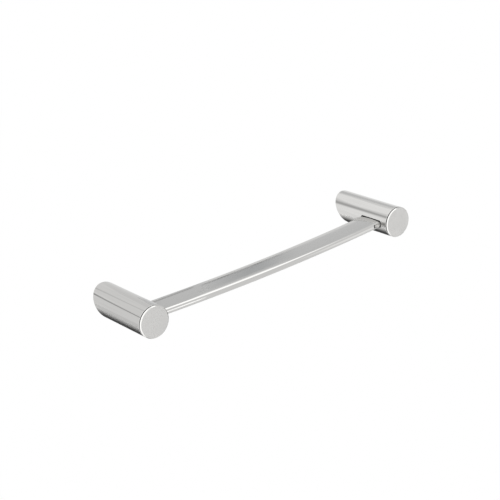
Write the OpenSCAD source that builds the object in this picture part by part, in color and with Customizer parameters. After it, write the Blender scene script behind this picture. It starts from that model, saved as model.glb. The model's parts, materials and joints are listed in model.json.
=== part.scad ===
// Grab rail: a bowed flat bar between two round posts whose feet are cut on a slant
// to sit on a raked surface. X runs along the bar, the posts run along Y with their
// fronts towards -Y, and Z is up. The origin lies on the mounting plane, midway
// between the two posts.

/* [Bar] */
// Distance between the axes of the two posts
post_spacing = 310; // [240:10:600]
// Distance from the front of a post back to the middle of the bar, at the post axes
bar_setback = 26; // [23:0.5:30]
// Depth of the bar, from its rear edge to its front edge
bar_depth = 28.5; // [24:0.5:32]
// Thickness of the bar
bar_thick = 7; // [6:0.5:10]
// How far the middle of the bar bows forward of its ends
bar_bow = 7.5; // [3:0.5:20]
// Radius on the bar's long edges
bar_edge_r = 2; // [0.5:0.25:2.75]
// Step in depth from the bar down to its tenon, on each edge
tenon_step = 3.25; // [2:0.25:5]
// Length of the tenon past the post axis
tenon_past = 7; // [4:0.5:9]

/* [Posts] */
// Outside diameter of a post
post_d = 32; // [30:0.5:40]
// Wall of a post
post_wall = 3; // [2:0.25:4]
// Distance from the mounting plane to the front of a post, along its axis
post_reach = 76; // [73:0.5:90]
// Slant of the foot away from square, in degrees
foot_slant = 30; // [0:1:38]

/* [End caps] */
// Thickness of the cap's head
cap_head = 2.5; // [2.5:0.25:4]
// Rounding of the cap's front edge
cap_edge_r = 0.9; // [0.5:0.1:0.9]
// Length of the cap's spigot inside the post
cap_spigot = 8; // [6:0.5:9]
// Wall of the cap's spigot
spigot_wall = 3.5; // [2.75:0.25:4.5]
// Width of the groove between cap and post
seam_gap = 1.5; // [0.8:0.1:1.5]
// Depth of that groove
seam_deep = 1.2; // [0.8:0.1:1.5]
// Depth of the seam ring below the post's surface
seam_ring_sunk = 0.3; // [0.1:0.05:0.5]
// Bevel on the edges of the post's front
post_bevel = 0.15; // [0.1:0.05:0.5]
// Section diameter of the ring that grips the cap in the post
o_ring_d = 1.8; // [1.2:0.1:2]
// Distance from the cap's head to the middle of its ring
o_ring_at = 4; // [2.5:0.25:4.5]

/* [Bar clamp] */
// Thickness of the block behind the tenon
block_back = 6; // [4:0.5:8]
// Distance the block's nose stops short of the cap's head
nose_short = 1.5; // [1:0.25:3]
// Diameter of the clamp screw
clamp_screw_d = 8; // [6:0.5:9]
// Hexagon across the flats in the clamp screw
clamp_hex = 4; // [3:0.25:4.5]
// Depth of the hexagon in the clamp screw
clamp_hex_deep = 3.5; // [2:0.25:4]
// Thickness of the pad between the clamp screw and the tenon
pad_thick = 1.5; // [1:0.25:2]

/* [Feet] */
// Wall diameter of the tapped hole for the mounting bolt
foot_hole_d = 6.8; // [5:0.1:8.5]
// Depth of the tapped hole
foot_hole_deep = 16; // [10:0.5:18]
// Outside diameter of the seal round the tapped hole
foot_seal_od = 19; // [15:0.5:22]
// Inside diameter of that seal
foot_seal_id = 12; // [10:0.5:13.5]
// Thickness of that seal
foot_seal_thick = 1.5; // [1:0.25:2]
// Diameter of the lock screw under the post
lock_screw_d = 5; // [4:0.5:6]
// Length of the lock screw
lock_screw_len = 5; // [4:0.25:7]
// Distance of the lock screw from the mounting plane
lock_screw_at = 22; // [20:0.5:26]
// Depth of the lock screw below the post's surface
lock_screw_sunk = 0.5; // [0.25:0.25:1]
// Hexagon across the flats in the lock screw
lock_hex = 2.5; // [2:0.25:2.5]
// Depth of the hexagon in the lock screw
lock_hex_deep = 2.5; // [1.5:0.25:3]

/* [Clearances] */
// Gap round the cap and its rings
cap_gap = 0.05; // [0.02:0.01:0.1]
// Radial gap of the plug and the block in the post
core_gap = 0.1; // [0.05:0.05:0.3]
// Radial gap between a screw and its tapped hole
thread_gap = 0.05; // [0.03:0.01:0.1]
// Gap round the tenon in its slot, and at its shoulders
tenon_gap = 0.15; // [0.1:0.05:0.3]
// Thickness of the seal between the bar and the post
bar_seal_thick = 0.5; // [0.4:0.1:1.5]
// Gap on each side of that seal
bar_seal_gap = 0.05; // [0.02:0.01:0.1]
// Depth of that seal below the post's surface
bar_seal_sunk = 0.3; // [0.1:0.05:0.6]
// Gap between the foot plug and the clamp block
core_space = 0.5; // [0.2:0.1:1]

/* [Hidden] */
$fn = 96;
over = 1;
bow_fn = 2160;

post_r = post_d / 2;
bore_r = post_r - post_wall;
core_r = bore_r - core_gap;
bar_reach = post_reach - bar_setback;
half_spacing = post_spacing / 2;

// The bow is an arc through the bar's middle and through both post axes
bow_radius = (half_spacing * half_spacing + bar_bow * bar_bow) / (2 * bar_bow);
bow_centre = bow_radius - bar_reach - bar_bow;
bow_angle = 2 * asin((half_spacing + post_r) / bow_radius);
shoulder_x = half_spacing - core_r - tenon_gap;

// Heights along a post are counted forward from the mounting plane
tenon_back = bar_reach - bar_depth / 2 + tenon_step;
tenon_front = bar_reach + bar_depth / 2 - tenon_step;
head_back = post_reach - cap_head;
spigot_end = head_back - cap_spigot;
spigot_r = bore_r - cap_gap;
seam_neck_r = post_r - seam_deep;
nose_r = spigot_r - spigot_wall - core_gap;
nose_end = head_back - nose_short;
shoulder_end = spigot_end - core_space;
block_end = tenon_back - block_back;
plug_end = block_end - core_space;

clamp_hole_r = clamp_screw_d / 2 + thread_gap;
pad_end = tenon_front + pad_thick;
o_ring_r = o_ring_d / 2;
o_ring_ring_r = bore_r - cap_gap - o_ring_r;
groove_r = o_ring_ring_r - o_ring_r - cap_gap;
groove_w = o_ring_d + 4 * cap_gap;
lock_tip = post_r - lock_screw_sunk - lock_screw_len;

chrome = "#c9c9cb";
brass = "#b59a4a";
steel = "#8f9196";
rubber = "#1c1c1e";

// Places a post's own piece on one side. In the post's frame Z runs forward from the
// mounting plane, Y is up and the bar lies towards -X; the left side is its mirror.
module on_post(side) {
    mirror([side == "left" ? 1 : 0, 0, 0])
        translate([half_spacing, 0, 0])
            rotate([90, 0, 0])
                children();
}

// A cylinder between two heights
module rod(r, from, to) {
    translate([0, 0, from])
        cylinder(r = r, h = to - from);
}

// A plain ring between two heights
module ring(outer_r, inner_r, from, to) {
    difference() {
        rod(outer_r, from, to);
        rod(inner_r, from - over, to + over);
    }
}

// Turns a piece so that its Z runs into the foot, square to the slanted mounting plane
module into_foot() {
    rotate([-foot_slant, 0, 0])
        children();
}

// The half space behind the mounting plane
module behind_wall() {
    into_foot()
        translate([-post_d, -2 * post_d, -2 * post_d])
            cube([2 * post_d, 4 * post_d, 2 * post_d]);
}

// A rectangle with round corners, centred
module round_rect(w, h, r) {
    square([w - 2 * r, h], center = true);
    square([w, h - 2 * r], center = true);
    for (x = [-1, 1], y = [-1, 1])
        translate([x * (w / 2 - r), y * (h / 2 - r)])
            circle(r = r);
}

// The bowed bar as one arc, grown all round, out to a given distance from the middle
module bowed_bar(grow, half_length) {
    intersection() {
        translate([0, bow_centre, 0])
            rotate([0, 0, -90 - bow_angle / 2])
                rotate_extrude(angle = bow_angle, $fn = bow_fn)
                    translate([bow_radius, 0])
                        round_rect(bar_depth + 2 * grow, bar_thick + 2 * grow, bar_edge_r + grow);
        translate([-half_length, -2 * post_reach, -post_d])
            cube([2 * half_length, 2 * post_reach, 2 * post_d]);
    }
}

// The flat end of the bar inside one post, or the slot for it when grown
module tenon(grow) {
    translate([-post_d, -bar_thick / 2 - grow, tenon_back])
        cube([post_d + tenon_past + grow, bar_thick + 2 * grow, tenon_front - tenon_back + grow]);
}

module bar() {
    color(chrome) {
        bowed_bar(0, shoulder_x);
        for (side = ["left", "right"])
            on_post(side)
                intersection() {
                    tenon(0);
                    translate([-core_r - post_wall, -post_r, 0])
                        cube([post_d, post_d, post_reach]);
                }
    }
}

// The tube of a post before its foot and openings are cut
module post_tube() {
    rotate_extrude()
        polygon([
            [bore_r, -post_d],
            [post_r, -post_d],
            [post_r, head_back - post_bevel],
            [post_r - post_bevel, head_back],
            [bore_r + post_bevel, head_back],
            [bore_r, head_back - post_bevel]
        ]);
}

module lock_screw_place() {
    translate([0, -post_r, lock_screw_at])
        rotate([-90, 0, 0])
            children();
}

module post(side) {
    color(chrome)
        difference() {
            on_post(side)
                difference() {
                    post_tube();
                    behind_wall();
                    lock_screw_place()
                        rod(lock_screw_d / 2 + thread_gap, -over, post_r);
                }
            bowed_bar(bar_seal_thick + 2 * bar_seal_gap, half_spacing);
        }
}

module end_cap(side) {
    color(chrome)
        on_post(side)
            rotate_extrude()
                difference() {
                    union() {
                        translate([0, post_reach - cap_edge_r])
                            square([post_r - cap_edge_r, cap_edge_r]);
                        translate([0, head_back])
                            polygon([
                                [0, 0],
                                [seam_neck_r, 0],
                                [seam_neck_r, seam_gap],
                                [post_r, seam_gap],
                                [post_r, cap_head - cap_edge_r],
                                [0, cap_head - cap_edge_r]
                            ]);
                        intersection() {
                            translate([post_r - cap_edge_r, post_reach - cap_edge_r])
                                circle(r = cap_edge_r);
                            translate([0, post_reach - cap_edge_r])
                                square([post_r, cap_edge_r]);
                        }
                        translate([spigot_r - spigot_wall, spigot_end])
                            square([spigot_wall, cap_spigot]);
                    }
                    translate([groove_r, head_back - o_ring_at - groove_w / 2])
                        square([post_r, groove_w]);
                }
}

module cap_o_ring(side) {
    color(rubber)
        on_post(side)
            translate([0, 0, head_back - o_ring_at])
                rotate_extrude()
                    translate([o_ring_ring_r, 0])
                        circle(r = o_ring_r);
}

module seam_ring(side) {
    color(rubber)
        on_post(side)
            translate([0, 0, head_back])
                ring(post_r - seam_ring_sunk, seam_neck_r + cap_gap, cap_gap, seam_gap - cap_gap);
}

module clamp_block(side) {
    color(brass)
        on_post(side)
            difference() {
                union() {
                    rod(core_r, block_end, shoulder_end);
                    rod(nose_r, block_end, nose_end);
                }
                tenon(tenon_gap);
                rod(clamp_hole_r, tenon_front, post_reach);
            }
}

// A screw with a hexagon socket in the end it is turned from, standing on its tip
module socket_screw(d, len, hex, hex_deep) {
    difference() {
        cylinder(d = d, h = len);
        translate([0, 0, len - hex_deep])
            cylinder(d = hex / cos(30), h = hex_deep + over, $fn = 6);
    }
}

module clamp_screw(side) {
    color(steel)
        on_post(side)
            translate([0, 0, pad_end])
                socket_screw(clamp_screw_d, nose_end - pad_end, clamp_hex, clamp_hex_deep);
}

module pressure_pad(side) {
    color(brass)
        on_post(side)
            rod(clamp_screw_d / 2, tenon_front, pad_end);
}

module bar_seal(side) {
    color(rubber)
        difference() {
            intersection() {
                on_post(side)
                    ring(post_r - bar_seal_sunk, bore_r, 0, post_reach);
                bowed_bar(bar_seal_thick + bar_seal_gap, half_spacing);
            }
            bowed_bar(bar_seal_gap, half_spacing);
        }
}

module foot_plug(side) {
    color(brass)
        on_post(side)
            difference() {
                rod(core_r, -post_d, plug_end);
                behind_wall();
                into_foot() {
                    rod(foot_hole_d / 2, -over, foot_hole_deep);
                    ring(foot_seal_od / 2, foot_seal_id / 2, -over, foot_seal_thick);
                }
                lock_screw_place()
                    rod(lock_screw_d / 2 + thread_gap, -over, post_r - lock_tip);
            }
}

module foot_seal(side) {
    color(rubber)
        on_post(side)
            into_foot()
                ring(foot_seal_od / 2 - core_gap, foot_seal_id / 2 + core_gap, 0, foot_seal_thick);
}

module lock_screw(side) {
    color(steel)
        on_post(side)
            lock_screw_place()
                translate([0, 0, post_r - lock_tip])
                    rotate([180, 0, 0])
                        socket_screw(lock_screw_d, lock_screw_len, lock_hex, lock_hex_deep);
}

bar();
post("left");  // left_post
post("right");  // right_post
end_cap("left");  // left_end_cap
end_cap("right");  // right_end_cap
cap_o_ring("left");  // left_cap_o_ring
cap_o_ring("right");  // right_cap_o_ring
seam_ring("left");  // left_seam_ring
seam_ring("right");  // right_seam_ring
clamp_block("left");  // left_clamp_block
clamp_block("right");  // right_clamp_block
clamp_screw("left");  // left_clamp_screw
clamp_screw("right");  // right_clamp_screw
pressure_pad("left");  // left_pressure_pad
pressure_pad("right");  // right_pressure_pad
bar_seal("left");  // left_bar_seal
bar_seal("right");  // right_bar_seal
foot_plug("left");  // left_foot_plug
foot_plug("right");  // right_foot_plug
foot_seal("left");  // left_foot_seal
foot_seal("right");  // right_foot_seal
lock_screw("left");  // left_lock_screw
lock_screw("right");  // right_lock_screw
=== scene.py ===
"""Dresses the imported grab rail: polished chrome, brass, steel and rubber in a white light tent."""
import json
from math import asin, cos, degrees, pi, radians, sin, sqrt

import bmesh
import bpy
from mathutils import Matrix, Vector


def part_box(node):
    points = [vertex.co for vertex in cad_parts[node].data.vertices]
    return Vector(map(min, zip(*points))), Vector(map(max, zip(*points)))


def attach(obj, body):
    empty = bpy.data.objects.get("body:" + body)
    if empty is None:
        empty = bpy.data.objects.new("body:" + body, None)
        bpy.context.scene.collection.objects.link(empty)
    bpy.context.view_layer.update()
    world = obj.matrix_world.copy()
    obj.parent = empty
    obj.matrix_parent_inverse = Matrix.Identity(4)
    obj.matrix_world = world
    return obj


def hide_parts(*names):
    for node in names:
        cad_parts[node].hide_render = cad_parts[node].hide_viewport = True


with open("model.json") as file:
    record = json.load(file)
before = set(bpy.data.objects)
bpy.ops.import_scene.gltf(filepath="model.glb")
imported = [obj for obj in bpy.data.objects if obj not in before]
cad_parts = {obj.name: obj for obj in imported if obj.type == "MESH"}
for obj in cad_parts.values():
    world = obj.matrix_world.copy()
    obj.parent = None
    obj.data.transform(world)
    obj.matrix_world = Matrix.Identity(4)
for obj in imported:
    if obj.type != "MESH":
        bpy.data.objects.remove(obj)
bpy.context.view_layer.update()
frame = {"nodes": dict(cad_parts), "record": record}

# Sizes in metres, from the frame where it gives them

MM = 0.001
SIDES = {"left": -1, "right": 1}

post_low, post_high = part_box("right_post")
POST_X = (post_low.x + post_high.x) / 2
POST_R = (post_high.x - post_low.x) / 2
SEAM_Y = post_low.y

cap_low, cap_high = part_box("right_end_cap")
CAP_FRONT_Y = cap_low.y
CAP_REAR_Y = cap_high.y

ring_low, ring_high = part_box("right_cap_o_ring")
RING_Y = (ring_low.y + ring_high.y) / 2
RING_D = ring_high.y - ring_low.y
SPIGOT_R = (ring_high.x - ring_low.x) / 2

bar_low, bar_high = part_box("bar")
TENON_END_X = bar_high.x
BAR_THICK = bar_high.z - bar_low.z
BAR_DEPTH = 28.5 * MM
BAR_BOW = 7.5 * MM
BAR_REACH = -bar_low.y - BAR_DEPTH / 2 - BAR_BOW

screw_low, screw_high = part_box("right_lock_screw")
LOCK_SCREW_Y = (screw_low.y + screw_high.y) / 2

FOOT_SLANT = radians(30)
FOOT_AXIS = Vector((0, -cos(FOOT_SLANT), sin(FOOT_SLANT)))


# Mesh helpers

LATHE_SEGMENTS = 160


def add_piece(name, mesh, body, replaced, material, sharp_angle):
    """Links a mesh as a piece that rides on a body and stands for a CAD node.

    An edge that bends by more degrees than the sharp angle stays sharp.
    """
    mesh.materials.append(material)
    mesh.shade_smooth()
    mesh.set_sharp_from_angle(angle=radians(sharp_angle))
    piece = bpy.data.objects.new(name, mesh)
    bpy.context.scene.collection.objects.link(piece)
    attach(piece, body)
    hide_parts(replaced)


def face_outward(mesh):
    """Turns each face of a closed mesh outward."""
    bm = bmesh.new()
    bm.from_mesh(mesh)
    bmesh.ops.recalc_face_normals(bm, faces=bm.faces)
    bm.to_mesh(mesh)
    bm.free()
    return mesh


def loft(name, rings):
    """A closed skin over rings that hold the same number of points."""
    count = len(rings[0])
    points = [point for ring in rings for point in ring]
    faces = [tuple(reversed(range(count)))]
    for row in range(len(rings) - 1):
        first = row * count
        after = first + count
        for i in range(count):
            j = (i + 1) % count
            faces.append((first + i, first + j, after + j, after + i))
    faces.append(tuple(range(len(points) - count, len(points))))
    mesh = bpy.data.meshes.new(name)
    mesh.from_pydata(points, [], faces)
    return face_outward(mesh)


def arc(centre, radius, start, end, steps):
    """Points on an arc in a plane, with angles in degrees."""
    angles = [radians(start + (end - start) * i / steps) for i in range(steps + 1)]
    return [(centre[0] + radius * cos(a), centre[1] + radius * sin(a)) for a in angles]


def lathe(name, profile, axis_x):
    """Turns a profile of (radius, y) points, whose two ends lie on the axis, about a line along Y."""
    bm = bmesh.new()
    turn = [2 * pi * i / LATHE_SEGMENTS for i in range(LATHE_SEGMENTS)]
    rows = []
    for radius, y in profile:
        if radius == 0:
            rows.append([bm.verts.new((axis_x, y, 0))])
        else:
            rows.append([bm.verts.new((axis_x + radius * cos(a), y, radius * sin(a))) for a in turn])
    for row, after in zip(rows, rows[1:]):
        for i in range(LATHE_SEGMENTS):
            j = (i + 1) % LATHE_SEGMENTS
            corners = [row[i % len(row)], row[j % len(row)], after[j % len(after)], after[i % len(after)]]
            bm.faces.new(list(dict.fromkeys(corners)))
    mesh = bpy.data.meshes.new(name)
    bm.to_mesh(mesh)
    bm.free()
    return face_outward(mesh)


# Node helpers

NOISE_DETAIL = 4.0
NOISE_ROUGHNESS = 0.6


def new_material(name):
    """A material, its node tree and its shader."""
    material = bpy.data.materials.new(name)
    material.use_nodes = True
    tree = material.node_tree
    return material, tree, tree.nodes["Principled BSDF"]


def add_node(tree, kind, **values):
    """A node with its inputs and settings given by name."""
    node = tree.nodes.new(kind)
    for key, value in values.items():
        if key in node.inputs:
            node.inputs[key].default_value = value
        else:
            setattr(node, key, value)
    return node


def noise(tree, stretch, scale, detail=NOISE_DETAIL):
    """Noise in the object's own coordinates, drawn out along the axes with a small stretch."""
    coords = add_node(tree, "ShaderNodeTexCoord")
    mapping = add_node(tree, "ShaderNodeMapping", Scale=stretch)
    texture = add_node(tree, "ShaderNodeTexNoise", Scale=scale, Detail=detail, Roughness=NOISE_ROUGHNESS)
    tree.links.new(coords.outputs["Object"], mapping.inputs["Vector"])
    tree.links.new(mapping.outputs["Vector"], texture.inputs["Vector"])
    return texture.outputs["Fac"]


def remap(tree, value, spread, result):
    """Takes the values of one range smoothly to those of another."""
    node = add_node(tree, "ShaderNodeMapRange", interpolation_type="SMOOTHSTEP")
    node.inputs["From Min"].default_value = spread[0]
    node.inputs["From Max"].default_value = spread[1]
    node.inputs["To Min"].default_value = result[0]
    node.inputs["To Max"].default_value = result[1]
    tree.links.new(value, node.inputs["Value"])
    return node.outputs["Result"]


def mix_colour(tree, factor, first, second):
    node = add_node(tree, "ShaderNodeMix", data_type="RGBA")
    node.inputs["A"].default_value = (*first, 1)
    node.inputs["B"].default_value = (*second, 1)
    tree.links.new(factor, node.inputs["Factor"])
    return node.outputs["Result"]


def bump(tree, shader, height, strength, distance):
    node = add_node(tree, "ShaderNodeBump", Strength=strength, Distance=distance)
    tree.links.new(height, node.inputs["Height"])
    tree.links.new(node.outputs["Normal"], shader.inputs["Normal"])


# Materials: how noise is drawn out, colours with their second tone, ranges of roughness, and fine marks

ALONG_X = (0.02, 1, 1)
ALONG_Y = (1, 0.02, 1)
EVEN = (1, 1, 1)

CHROME, CHROME_DULL = (0.563, 0.5585, 0.547), (0.503, 0.499, 0.489)
BRASS, BRASS_DULL = (0.62, 0.48, 0.21), (0.52, 0.39, 0.15)
# Painted shade: a darker brass for the walls of the threaded holes in the feet, standing in for the shade
# inside a hole
HOLE_SHADE, HOLE_SHADE_DULL = (0.24, 0.18, 0.075), (0.15, 0.11, 0.045)
STEEL, STEEL_DULL = (0.56, 0.56, 0.57), (0.46, 0.46, 0.47)
RUBBER, RUBBER_PALE = (0.012, 0.012, 0.013), (0.035, 0.035, 0.036)

POLISHED = (0.05, 0.10)
MIRROR = (0.04, 0.08)
SATIN = (0.26, 0.34)
TURNED = (0.2, 0.4)
MATT = (0.55, 0.8)

STREAK_SCALE = 900.0
STREAK_SPREAD = (0.45, 0.75)
STREAK_DULLING = (0.0, 0.5)
STREAK_BUMP, STREAK_HEIGHT = 0.02, 0.2 * MM
CLOUD_SCALE, CLOUD_DETAIL = 60.0, 2.0
CLOUD_SPREAD = (0.3, 0.7)

GRAIN_SCALE = 1800.0
GRAIN_SPREAD = (0.2, 0.8)
GRAIN_BUMP, GRAIN_HEIGHT = 0.2, 0.3 * MM

LINE_SCALE, LINE_DETAIL = 2600.0, 3.0
LINE_SPREAD = (0.3, 0.7)
LINE_BUMP, LINE_HEIGHT = 0.12, 0.1 * MM
STAIN_SCALE = 160.0


def chrome(name, stretch, roughness):
    """Chrome plate with polishing lines that run along the axis with the small stretch."""
    material, tree, shader = new_material(name)
    shader.inputs["Metallic"].default_value = 1.0
    streaks = noise(tree, stretch, STREAK_SCALE)
    clouds = noise(tree, EVEN, CLOUD_SCALE, CLOUD_DETAIL)
    dulled = remap(tree, streaks, STREAK_SPREAD, STREAK_DULLING)
    tree.links.new(mix_colour(tree, dulled, CHROME, CHROME_DULL), shader.inputs["Base Color"])
    tree.links.new(remap(tree, clouds, CLOUD_SPREAD, roughness), shader.inputs["Roughness"])
    bump(tree, shader, streaks, STREAK_BUMP, STREAK_HEIGHT)
    return material


def rubber(name):
    """Matt black rubber with a fine grain."""
    material, tree, shader = new_material(name)
    grain = noise(tree, EVEN, GRAIN_SCALE)
    tree.links.new(mix_colour(tree, grain, RUBBER, RUBBER_PALE), shader.inputs["Base Color"])
    tree.links.new(remap(tree, grain, GRAIN_SPREAD, MATT), shader.inputs["Roughness"])
    bump(tree, shader, grain, GRAIN_BUMP, GRAIN_HEIGHT)
    return material


def distance_from(tree, axis, through):
    """Distance from a line through a point of the right post's axis, or from its mirror image on the left."""
    coords = add_node(tree, "ShaderNodeTexCoord")
    apart = add_node(tree, "ShaderNodeSeparateXYZ")
    mirrored = add_node(tree, "ShaderNodeMath", operation="ABSOLUTE")
    together = add_node(tree, "ShaderNodeCombineXYZ")
    from_line = add_node(tree, "ShaderNodeVectorMath", operation="SUBTRACT")
    from_line.inputs[1].default_value = (POST_X, *through)
    square_to_line = add_node(tree, "ShaderNodeVectorMath", operation="CROSS_PRODUCT")
    square_to_line.inputs[1].default_value = axis
    length = add_node(tree, "ShaderNodeVectorMath", operation="LENGTH")
    tree.links.new(coords.outputs["Object"], apart.inputs[0])
    tree.links.new(apart.outputs["X"], mirrored.inputs[0])
    tree.links.new(mirrored.outputs[0], together.inputs["X"])
    tree.links.new(apart.outputs["Y"], together.inputs["Y"])
    tree.links.new(apart.outputs["Z"], together.inputs["Z"])
    tree.links.new(together.outputs[0], from_line.inputs[0])
    tree.links.new(from_line.outputs[0], square_to_line.inputs[0])
    tree.links.new(square_to_line.outputs[0], length.inputs[0])
    return length.outputs["Value"]


def turned(name, bright, dull, axis, through=(0, 0)):
    """Turned metal with fine tool lines that ring an axis, given with its place in Y and Z."""
    material, tree, shader = new_material(name)
    shader.inputs["Metallic"].default_value = 1.0
    lines = add_node(
        tree, "ShaderNodeTexNoise", noise_dimensions="1D", Scale=LINE_SCALE, Detail=LINE_DETAIL)
    tree.links.new(distance_from(tree, axis, through), lines.inputs["W"])
    stain = noise(tree, EVEN, STAIN_SCALE)
    tree.links.new(mix_colour(tree, stain, bright, dull), shader.inputs["Base Color"])
    tree.links.new(remap(tree, lines.outputs["Fac"], LINE_SPREAD, TURNED), shader.inputs["Roughness"])
    bump(tree, shader, lines.outputs["Fac"], LINE_BUMP, LINE_HEIGHT)
    return material


def dress_nodes(slot_materials):
    """Gives each CAD node the material of its slot."""
    for row in frame["record"]["subparts"]:
        mesh = frame["nodes"][row["node"]].data
        mesh.materials.clear()
        mesh.materials.append(slot_materials[row["material_slot"]])


chrome_post = chrome("chrome_post", ALONG_Y, POLISHED)
chrome_bar = chrome("chrome_bar", ALONG_X, POLISHED)
chrome_rim = chrome("chrome_rim", EVEN, MIRROR)
chrome_satin = chrome("chrome_satin", EVEN, SATIN)
turned_foot = turned("turned_foot", BRASS, BRASS_DULL, FOOT_AXIS)
# Painted shade for the threaded holes' walls
shaded_hole_brass = turned("shaded_hole_brass", HOLE_SHADE, HOLE_SHADE_DULL, FOOT_AXIS)
dress_nodes({
    "chrome": chrome_post,
    "brass": turned("turned_brass", BRASS, BRASS_DULL, (0, 1, 0)),
    "stainless": turned("turned_stainless", STEEL, STEEL_DULL, (0, 0, 1), (LOCK_SCREW_Y, 0)),
    "rubber": rubber("seal_rubber"),
})


# The bar: a bowed flat with a slight crown, and a tenon at each end

BAR_EDGE_R = 2.0 * MM
BAR_CROWN = 0.35 * MM
BOW_RADIUS = (POST_X ** 2 + BAR_BOW ** 2) / (2 * BAR_BOW)
BOW_CENTRE_Y = BOW_RADIUS - BAR_REACH - BAR_BOW
TENON_STEP = 3.25 * MM
TENON_DEPTH = BAR_DEPTH - 2 * TENON_STEP
TENON_GAP = 0.15 * MM
CLAMP_BLOCK_R = 12.9 * MM
SHOULDER_X = POST_X - CLAMP_BLOCK_R - TENON_GAP
BAR_STATIONS = 96
CROWN_STEPS = 24
EDGE_STEPS = 12
BAR_SHARP_ANGLE = 35


def bar_section():
    """The bar's outline as (forward, up) points about its middle, anticlockwise."""
    half_depth, half_thick = BAR_DEPTH / 2, BAR_THICK / 2
    crown_half = half_depth - BAR_EDGE_R
    crown_radius = (crown_half ** 2 + BAR_CROWN ** 2) / (2 * BAR_CROWN)
    tilt = asin(crown_half / crown_radius)
    edge_r = BAR_EDGE_R / (1 - sin(tilt))
    centre = (half_depth - edge_r, half_thick - BAR_CROWN - edge_r * cos(tilt))
    corner = arc(centre, edge_r, 0, 90 - degrees(tilt), EDGE_STEPS)
    crown = []
    for i in range(1, CROWN_STEPS):
        u = crown_half * (1 - 2 * i / CROWN_STEPS)
        crown.append((u, half_thick - crown_radius + sqrt(crown_radius ** 2 - u ** 2)))
    upper = corner + crown + [(-u, w) for u, w in reversed(corner)]
    return upper + [(-u, -w) for u, w in upper]


def bar_ring(section, x):
    """The outline on the bow, at a distance from the bar's middle."""
    return [Vector((x, BOW_CENTRE_Y - sqrt((BOW_RADIUS + u) ** 2 - x ** 2), w)) for u, w in section]


def tenon_ring(section, x):
    """The same points drawn in to the tenon's depth."""
    scale = TENON_DEPTH / BAR_DEPTH
    return [Vector((x, -BAR_REACH - u * scale, w)) for u, w in section]


def make_bar():
    section = bar_section()
    stations = [SHOULDER_X * (2 * i / BAR_STATIONS - 1) for i in range(BAR_STATIONS + 1)]
    rings = [tenon_ring(section, -TENON_END_X), tenon_ring(section, -SHOULDER_X)]
    rings += [bar_ring(section, x) for x in stations]
    rings += [tenon_ring(section, SHOULDER_X), tenon_ring(section, TENON_END_X)]
    mesh = loft("bar_grip", rings)
    add_piece("bar_grip", mesh, "rail", "bar", chrome_bar, BAR_SHARP_ANGLE)


make_bar()


# The end caps: a satin disc inside a polished rim, on a spigot with a groove for its ring

RIM_WIDTH = 0.95 * MM
SEAM_GAP = 1.5 * MM
SEAM_DEEP = 1.2 * MM
SPIGOT_WALL = 3.5 * MM
RING_GAP = 0.05 * MM
CAP_SHARP_ANGLE = 20


def cap_profile():
    """Points from the middle of the disc round the rim and the spigot to the axis behind."""
    disc_r = POST_R - RIM_WIDTH
    neck_r = POST_R - SEAM_DEEP
    groove_r = SPIGOT_R - RING_D - RING_GAP
    groove_half = RING_D / 2 + 2 * RING_GAP
    bore_r = SPIGOT_R - SPIGOT_WALL
    front = [(0, CAP_FRONT_Y), (disc_r / 2, CAP_FRONT_Y)]
    rim = [(disc_r, CAP_FRONT_Y), (POST_R, CAP_FRONT_Y + RIM_WIDTH)]
    seam = [(POST_R, SEAM_Y - SEAM_GAP), (neck_r, SEAM_Y - SEAM_GAP), (neck_r, SEAM_Y)]
    spigot = [(SPIGOT_R, SEAM_Y), (SPIGOT_R, RING_Y - groove_half), (groove_r, RING_Y - groove_half)]
    spigot += [(groove_r, RING_Y + groove_half), (SPIGOT_R, RING_Y + groove_half), (SPIGOT_R, CAP_REAR_Y)]
    inside = [(bore_r, CAP_REAR_Y), (bore_r, SEAM_Y), (0, SEAM_Y)]
    return front + rim + seam + spigot + inside


def make_cap(side):
    """A polished cap with a satin disc, whose faces are those level with the cap's front."""
    mesh = lathe(side + "_cap", cap_profile(), SIDES[side] * POST_X)
    add_piece(
        side + "_cap_turned", mesh, side + "_cap", side + "_end_cap", chrome_rim, CAP_SHARP_ANGLE)
    mesh.materials.append(chrome_satin)
    for face in mesh.polygons:
        face.material_index = int(face.center.y < CAP_FRONT_Y + RIM_WIDTH / 4)


for cap_side in SIDES:
    make_cap(cap_side)


# The feet: each brass plug gets a real thread in its hole

THREAD_PITCH = 1.25 * MM
THREAD_INNER_R = 3.45 * MM
THREAD_OUTER_R = 4.0 * MM
THREAD_DEEP = 15.0 * MM
MOUTH_R = 4.4 * MM
TAP_SEGMENTS = 48
ROWS_PER_TURN = 8
FLAT_ENOUGH = 0.95
WELD = 0.002 * MM
FOOT_SHARP_ANGLE = 25


def tap_radius(depth, turn):
    """Radius of the tap at a depth and a share of a turn: a pointed thread that opens to a mouth."""
    phase = (depth / THREAD_PITCH - turn) % 1
    ridge = abs(2 * phase - 1)
    return max(THREAD_INNER_R + (THREAD_OUTER_R - THREAD_INNER_R) * ridge, MOUTH_R - depth)


def make_tap(side):
    """A solid the shape of the threaded hole, from just outside the foot inwards.

    Its rows lie half a step off the foot's plane, so that no row falls on that plane.
    """
    across = Vector((1, 0, 0))
    upward = FOOT_AXIS.cross(across)
    row_step = THREAD_PITCH / ROWS_PER_TURN
    turns = [i / TAP_SEGMENTS for i in range(TAP_SEGMENTS)]
    spokes = [across * cos(2 * pi * t) + upward * sin(2 * pi * t) for t in turns]
    rings = []
    for row in range(-ROWS_PER_TURN, round(THREAD_DEEP / row_step) + 1):
        depth = (row + 0.5) * row_step
        centre = across * SIDES[side] * POST_X + FOOT_AXIS * depth
        rings.append([centre + spoke * tap_radius(depth, t) for spoke, t in zip(spokes, turns)])
    return loft("tap", rings)


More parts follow.
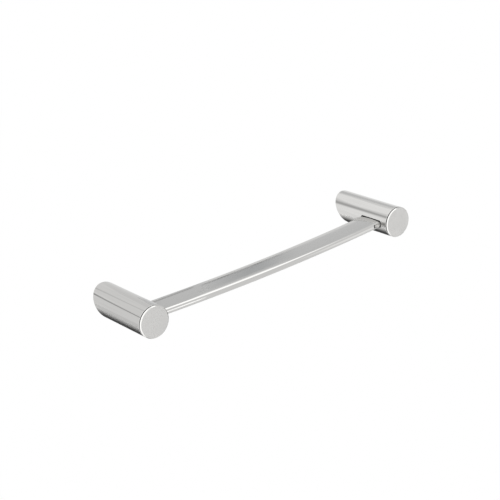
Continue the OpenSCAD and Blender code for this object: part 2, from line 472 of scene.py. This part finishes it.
def cut_away(mesh, tool_mesh):
    """A new mesh: the first one less the space of the tool."""
    blank = bpy.data.objects.new("blank", mesh)
    tool = bpy.data.objects.new("tool", tool_mesh)
    for helper in (blank, tool):
        bpy.context.scene.collection.objects.link(helper)
    cut = blank.modifiers.new("cut", "BOOLEAN")
    cut.operation = "DIFFERENCE"
    cut.solver = "EXACT"
    cut.object = tool
    finished = blank.evaluated_get(bpy.context.evaluated_depsgraph_get())
    result = bpy.data.meshes.new_from_object(finished)
    for helper in (blank, tool):
        bpy.data.objects.remove(helper)
    return result


def weld(mesh):
    """Joins the corners that nearly meet, and clears the faces that this leaves with no area."""
    bm = bmesh.new()
    bm.from_mesh(mesh)
    bmesh.ops.remove_doubles(bm, verts=bm.verts, dist=WELD)
    bmesh.ops.dissolve_degenerate(bm, edges=bm.edges, dist=WELD)
    bm.to_mesh(mesh)
    bm.free()
    return mesh


def plain_copy(mesh):
    """A copy of a CAD mesh by its points and faces alone, without the stored normals."""
    copy = bpy.data.meshes.new("copy")
    copy.from_pydata([vert.co for vert in mesh.vertices], [], [face.vertices for face in mesh.polygons])
    return weld(copy)


def make_foot(side):
    """A plug with a threaded hole, whose walls get painted shade: a darker, duller brass than the foot."""
    node = side + "_foot_plug"
    mesh = weld(cut_away(plain_copy(frame["nodes"][node].data), make_tap(side)))
    add_piece(node + "_tapped", mesh, "rail", node, turned_foot, FOOT_SHARP_ANGLE)
    mesh.materials.append(shaded_hole_brass)
    # The hole's walls, but not its level floor, take the painted shade
    middle = Vector((SIDES[side] * POST_X, 0, 0))
    for face in mesh.polygons:
        from_axis = (face.center - middle).cross(FOOT_AXIS).length
        level = abs(face.normal.dot(FOOT_AXIS)) > FLAT_ENOUGH
        face.material_index = int(from_axis < MOUTH_R and not level)


for foot_side in SIDES:
    make_foot(foot_side)


# Camera, from the photograph

CAMERA_AZIMUTH = radians(-36.693)
CAMERA_ELEVATION = radians(22.037)
CAMERA_ROLL = radians(-5.867)
CAMERA_DISTANCE = 1.37386
CAMERA_SIDE = 0.01392
CAMERA_RISE = 0.00046
CAMERA_LENS = 97.466
SENSOR = 36.0
UP = Vector((0, 0, 1))


def make_camera():
    """Adds the camera and gives its place."""
    level = cos(CAMERA_ELEVATION)
    back = Vector((sin(CAMERA_AZIMUTH) * level, -cos(CAMERA_AZIMUTH) * level, sin(CAMERA_ELEVATION)))
    level_right = UP.cross(back).normalized()
    level_up = back.cross(level_right)
    right = cos(CAMERA_ROLL) * level_right + sin(CAMERA_ROLL) * level_up
    up = back.cross(right)
    data = bpy.data.cameras.new("camera")
    data.sensor_width = SENSOR
    data.lens = CAMERA_LENS
    camera = bpy.data.objects.new("camera", data)
    place = back * CAMERA_DISTANCE + right * CAMERA_SIDE + up * CAMERA_RISE
    camera.matrix_world = Matrix.Translation(place) @ Matrix((right, up, back)).transposed().to_4x4()
    bpy.context.scene.collection.objects.link(camera)
    bpy.context.scene.camera = camera
    return place


camera_place = make_camera()
bpy.context.scene.view_settings.view_transform = "Standard"


# Stage: floor, white world, and cards and ribbons that only reflections see

WHITE = (1, 1, 1, 1)
FLOOR_Z = -1.6
FLOOR_SIZE = 12
FLOOR_ROUGHNESS = 0.9
BRIGHT = 1.85
RIBBON_REACH = 1.1
RIBBON_WIDTH = 0.2
RIBBON_STEPS = 40
RIBBON_FADE = (0.25, 0.25)
FORWARD = Vector((0, -1, 0))


def stage_object(name, mesh, material):
    mesh.materials.append(material)
    item = bpy.data.objects.new(name, mesh)
    bpy.context.scene.collection.objects.link(item)
    return item


def ribbon(name, pairs):
    """A strip between pairs of points, mapped from 0 to 1 along it and across it."""
    mesh = bpy.data.meshes.new(name)
    last = len(pairs) - 1
    faces = [(2 * i, 2 * i + 2, 2 * i + 3, 2 * i + 1) for i in range(last)]
    mesh.from_pydata([point for pair in pairs for point in pair], [], faces)
    mapping = mesh.uv_layers.new(name="along_across")
    for loop in mesh.loops:
        step, across = divmod(loop.vertex_index, 2)
        mapping.data[loop.index].uv = (step / last, across)
    return mesh


def rectangle(name, width, height):
    x, y = width / 2, height / 2
    return ribbon(name, [((-x, -y, 0), (-x, y, 0)), ((x, -y, 0), (x, y, 0))])


def edge_mask(tree, fade):
    """A factor that rises from 0 at a card's edges to 1, over a share of its length and of its width."""
    coords = add_node(tree, "ShaderNodeTexCoord")
    axes = add_node(tree, "ShaderNodeSeparateXYZ")
    tree.links.new(coords.outputs["UV"], axes.inputs[0])
    both = add_node(tree, "ShaderNodeMath", operation="MULTIPLY")
    for place, (axis, share) in enumerate(zip("XY", fade)):
        from_edge = add_node(tree, "ShaderNodeMath", operation="PINGPONG")
        from_edge.inputs[1].default_value = 0.5
        tree.links.new(axes.outputs[axis], from_edge.inputs[0])
        tree.links.new(remap(tree, from_edge.outputs[0], (0, share), (0, 1)), both.inputs[place])
    return both.outputs[0]


def glow(name, level, fade, cool):
    """An even glow that fades out towards a card's edges, a little blue where it is cool."""
    material = bpy.data.materials.new(name)
    material.use_nodes = True
    tree = material.node_tree
    tree.nodes.clear()
    colour = (level * (1 - cool), level, level * (1 + cool), 1)
    emission = add_node(tree, "ShaderNodeEmission", Color=colour, Strength=1.0)
    clear = add_node(tree, "ShaderNodeBsdfTransparent")
    blend = add_node(tree, "ShaderNodeMixShader")
    output = add_node(tree, "ShaderNodeOutputMaterial")
    tree.links.new(edge_mask(tree, fade), blend.inputs[0])
    tree.links.new(clear.outputs[0], blend.inputs[1])
    tree.links.new(emission.outputs[0], blend.inputs[2])
    tree.links.new(blend.outputs[0], output.inputs[0])
    return material


def reflector(name, mesh, level, fade, cool=0):
    """A stage object that only reflections see."""
    item = stage_object(name, mesh, glow(name, level, fade, cool))
    item.visible_camera = False
    item.visible_diffuse = False
    item.visible_shadow = False
    return item


def card(name, centre, size, level, fade, normal=None, roll=0, cool=0):
    """A flat card. It faces the part unless a normal is given. Its roll is in degrees."""
    item = reflector(name, rectangle(name, *size), level, fade, cool)
    turn = Vector(normal or centre).to_track_quat("Z", "Y").to_matrix().to_4x4()
    item.matrix_world = Matrix.Translation(centre) @ turn @ Matrix.Rotation(radians(roll), 4, "Z")


def rim_light(side, start, end):
    """A curved ribbon of light that a cap's rim mirrors to the camera between two angles in degrees."""
    name = side + "_rim_light"
    centre = Vector((SIDES[side] * POST_X, CAP_FRONT_Y, 0))
    path = []
    for i in range(RIBBON_STEPS + 1):
        angle = radians(start + (end - start) * i / RIBBON_STEPS)
        outward = Vector((cos(angle), 0, sin(angle)))
        point = centre + outward * POST_R
        sight = (point - camera_place).normalized()
        rim_normal = (outward + FORWARD).normalized()
        path.append(point + sight.reflect(rim_normal) * RIBBON_REACH)
    pairs = []
    for i, middle in enumerate(path):
        along = path[min(i + 1, RIBBON_STEPS)] - path[max(i - 1, 0)]
        sideways = along.cross(middle - centre).normalized() * RIBBON_WIDTH / 2
        pairs.append((middle - sideways, middle + sideways))
    reflector(name, ribbon(name, pairs), BRIGHT, RIBBON_FADE)


def make_floor():
    material, _, shader = new_material("floor")
    shader.inputs["Base Color"].default_value = WHITE
    shader.inputs["Roughness"].default_value = FLOOR_ROUGHNESS
    shader.inputs["Specular IOR Level"].default_value = 0.0
    floor = stage_object("floor", rectangle("floor", FLOOR_SIZE, FLOOR_SIZE), material)
    floor.location.z = FLOOR_Z


def make_world():
    world = bpy.data.worlds.new("tent")
    bpy.context.scene.world = world
    world.use_nodes = True
    background = world.node_tree.nodes["Background"]
    background.inputs["Color"].default_value = WHITE
    background.inputs["Strength"].default_value = 1.0


make_floor()
make_world()

# Normals of level cards, of upright ones across the posts, and of upright ones across the camera's sight
LEVEL = (0, 0, 1)
ACROSS = (0, 1, 0)
SIGHT = (-sin(CAMERA_AZIMUTH), cos(CAMERA_AZIMUTH), 0)

# Bright: the caps' rims, the bar's front edge, and the discs with the ends of the bar's front
rim_light("left", 80, 236)
rim_light("right", 80, 240)
card("edge_light", (0.55, -0.075, 1.0), (0.9, 2.05), BRIGHT, (0.3, 0.08), LEVEL)
card("low_front", (-0.02, -1.03, -0.455), (0.86, 0.08), BRIGHT, (0.01, 0.1), ACROSS)
card("low_right", (1.09, -0.97, -0.47), (0.7, 0.7), 1.27, (0.3, 0.3), LEVEL)

# The near post and the bar's end at it: thin lines, paler parts and a dark underside
card("near_line", (-0.273, 0.109, 0.0675), (0.2, 0.02), 0.45, (0.2, 0.3), ACROSS, roll=16)
card("near_faint", (-0.1915, 0.109, 0.13), (0.016, 0.16), 0.75, (0.4, 0.1), ACROSS, roll=-13)
card("near_top", (-0.0365, 0.06, 0.05), (0.083, 0.22), 0.8, (0.25, 0.15), ACROSS, cool=0.007)
card("near_side", (-0.095, 0.061, 0.05), (0.07, 0.22), 0.9, (0.2, 0.15), ACROSS)
card("near_dark", (-0.137, 0.125, -0.12), (0.37, 0.19), 0.08, (0.45, 0.15), LEVEL)
card("near_shade", (-0.38, 0.3, -0.13), (0.4, 0.5), 0.86, (0.4, 0.3), LEVEL)

# The far post: one line, brighter bands above and below it, and a dark underside
card("far_line", (-0.016, 0.155, 0.1325), (0.15, 0.11), 0.58, (0.1, 0.5), ACROSS, roll=38)
card("far_glow", (0.115, 0.215, 0.275), (0.32, 0.17), 1.25, (0.2, 0.15), ACROSS)
card("far_glow_low", (-0.27, 0.42, -0.025), (0.4, 0.61), 1.25, (0.15, 0.2), ACROSS)
card("far_low", (0.058, 0.09, -0.049), (0.06, 0.078), 1.2, (0.2, 0.2), ACROSS)
card("far_dark", (0.343, 0.328, -0.24), (0.857, 0.455), 0.08, (0.32, 0.06), LEVEL)

# The bar's top: a grey, darker in the middle, with a dark line along its rear edge
card("bar_grey", (0.843, 0.811, 0.555), (0.83, 0.36), 0.8, (0.1, 0.03), SIGHT, roll=14, cool=0.007)
card("bar_dark", (0.699, 0.912, 0.53), (0.24, 0.2), 0.61, (0.5, 0.12), SIGHT, roll=14, cool=0.02)
card("bar_line", (0.628, 0.959, 0.447), (0.36, 0.034), 0.3, (0.3, 0.3), SIGHT, roll=13)
card("bar_line_near", (-0.05, 0.055, 0.0455), (0.06, 0.0045), 0.45, (0.1, 0.3), ACROSS)

# Grey all round, which gives the chrome some contrast from every side
card("front_left", (-0.95, -1.15, 0.05), (1.3, 1.9), 0.55, (0.3, 0.3))
card("zenith", (-0.1, -0.2, 1.2), (0.9, 0.9), 0.78, (0.45, 0.45), LEVEL)
card("nadir", (-0.1, 0.1, -1.2), (0.9, 0.9), 0.72, (0.45, 0.45), LEVEL)
card("horizon_front", (0.0, -1.6, 0.0), (1.6, 0.13), 0.35, (0.3, 0.4), ACROSS)
card("horizon_back", (0.0, 1.6, -0.3), (1.6, 0.16), 0.35, (0.3, 0.4), ACROSS)
card("horizon_left", (-1.6, 0.15, -0.15), (1.6, 0.13), 0.35, (0.3, 0.4))
card("horizon_right", (1.6, 0.1, -0.2), (1.6, 0.13), 0.35, (0.3, 0.4))
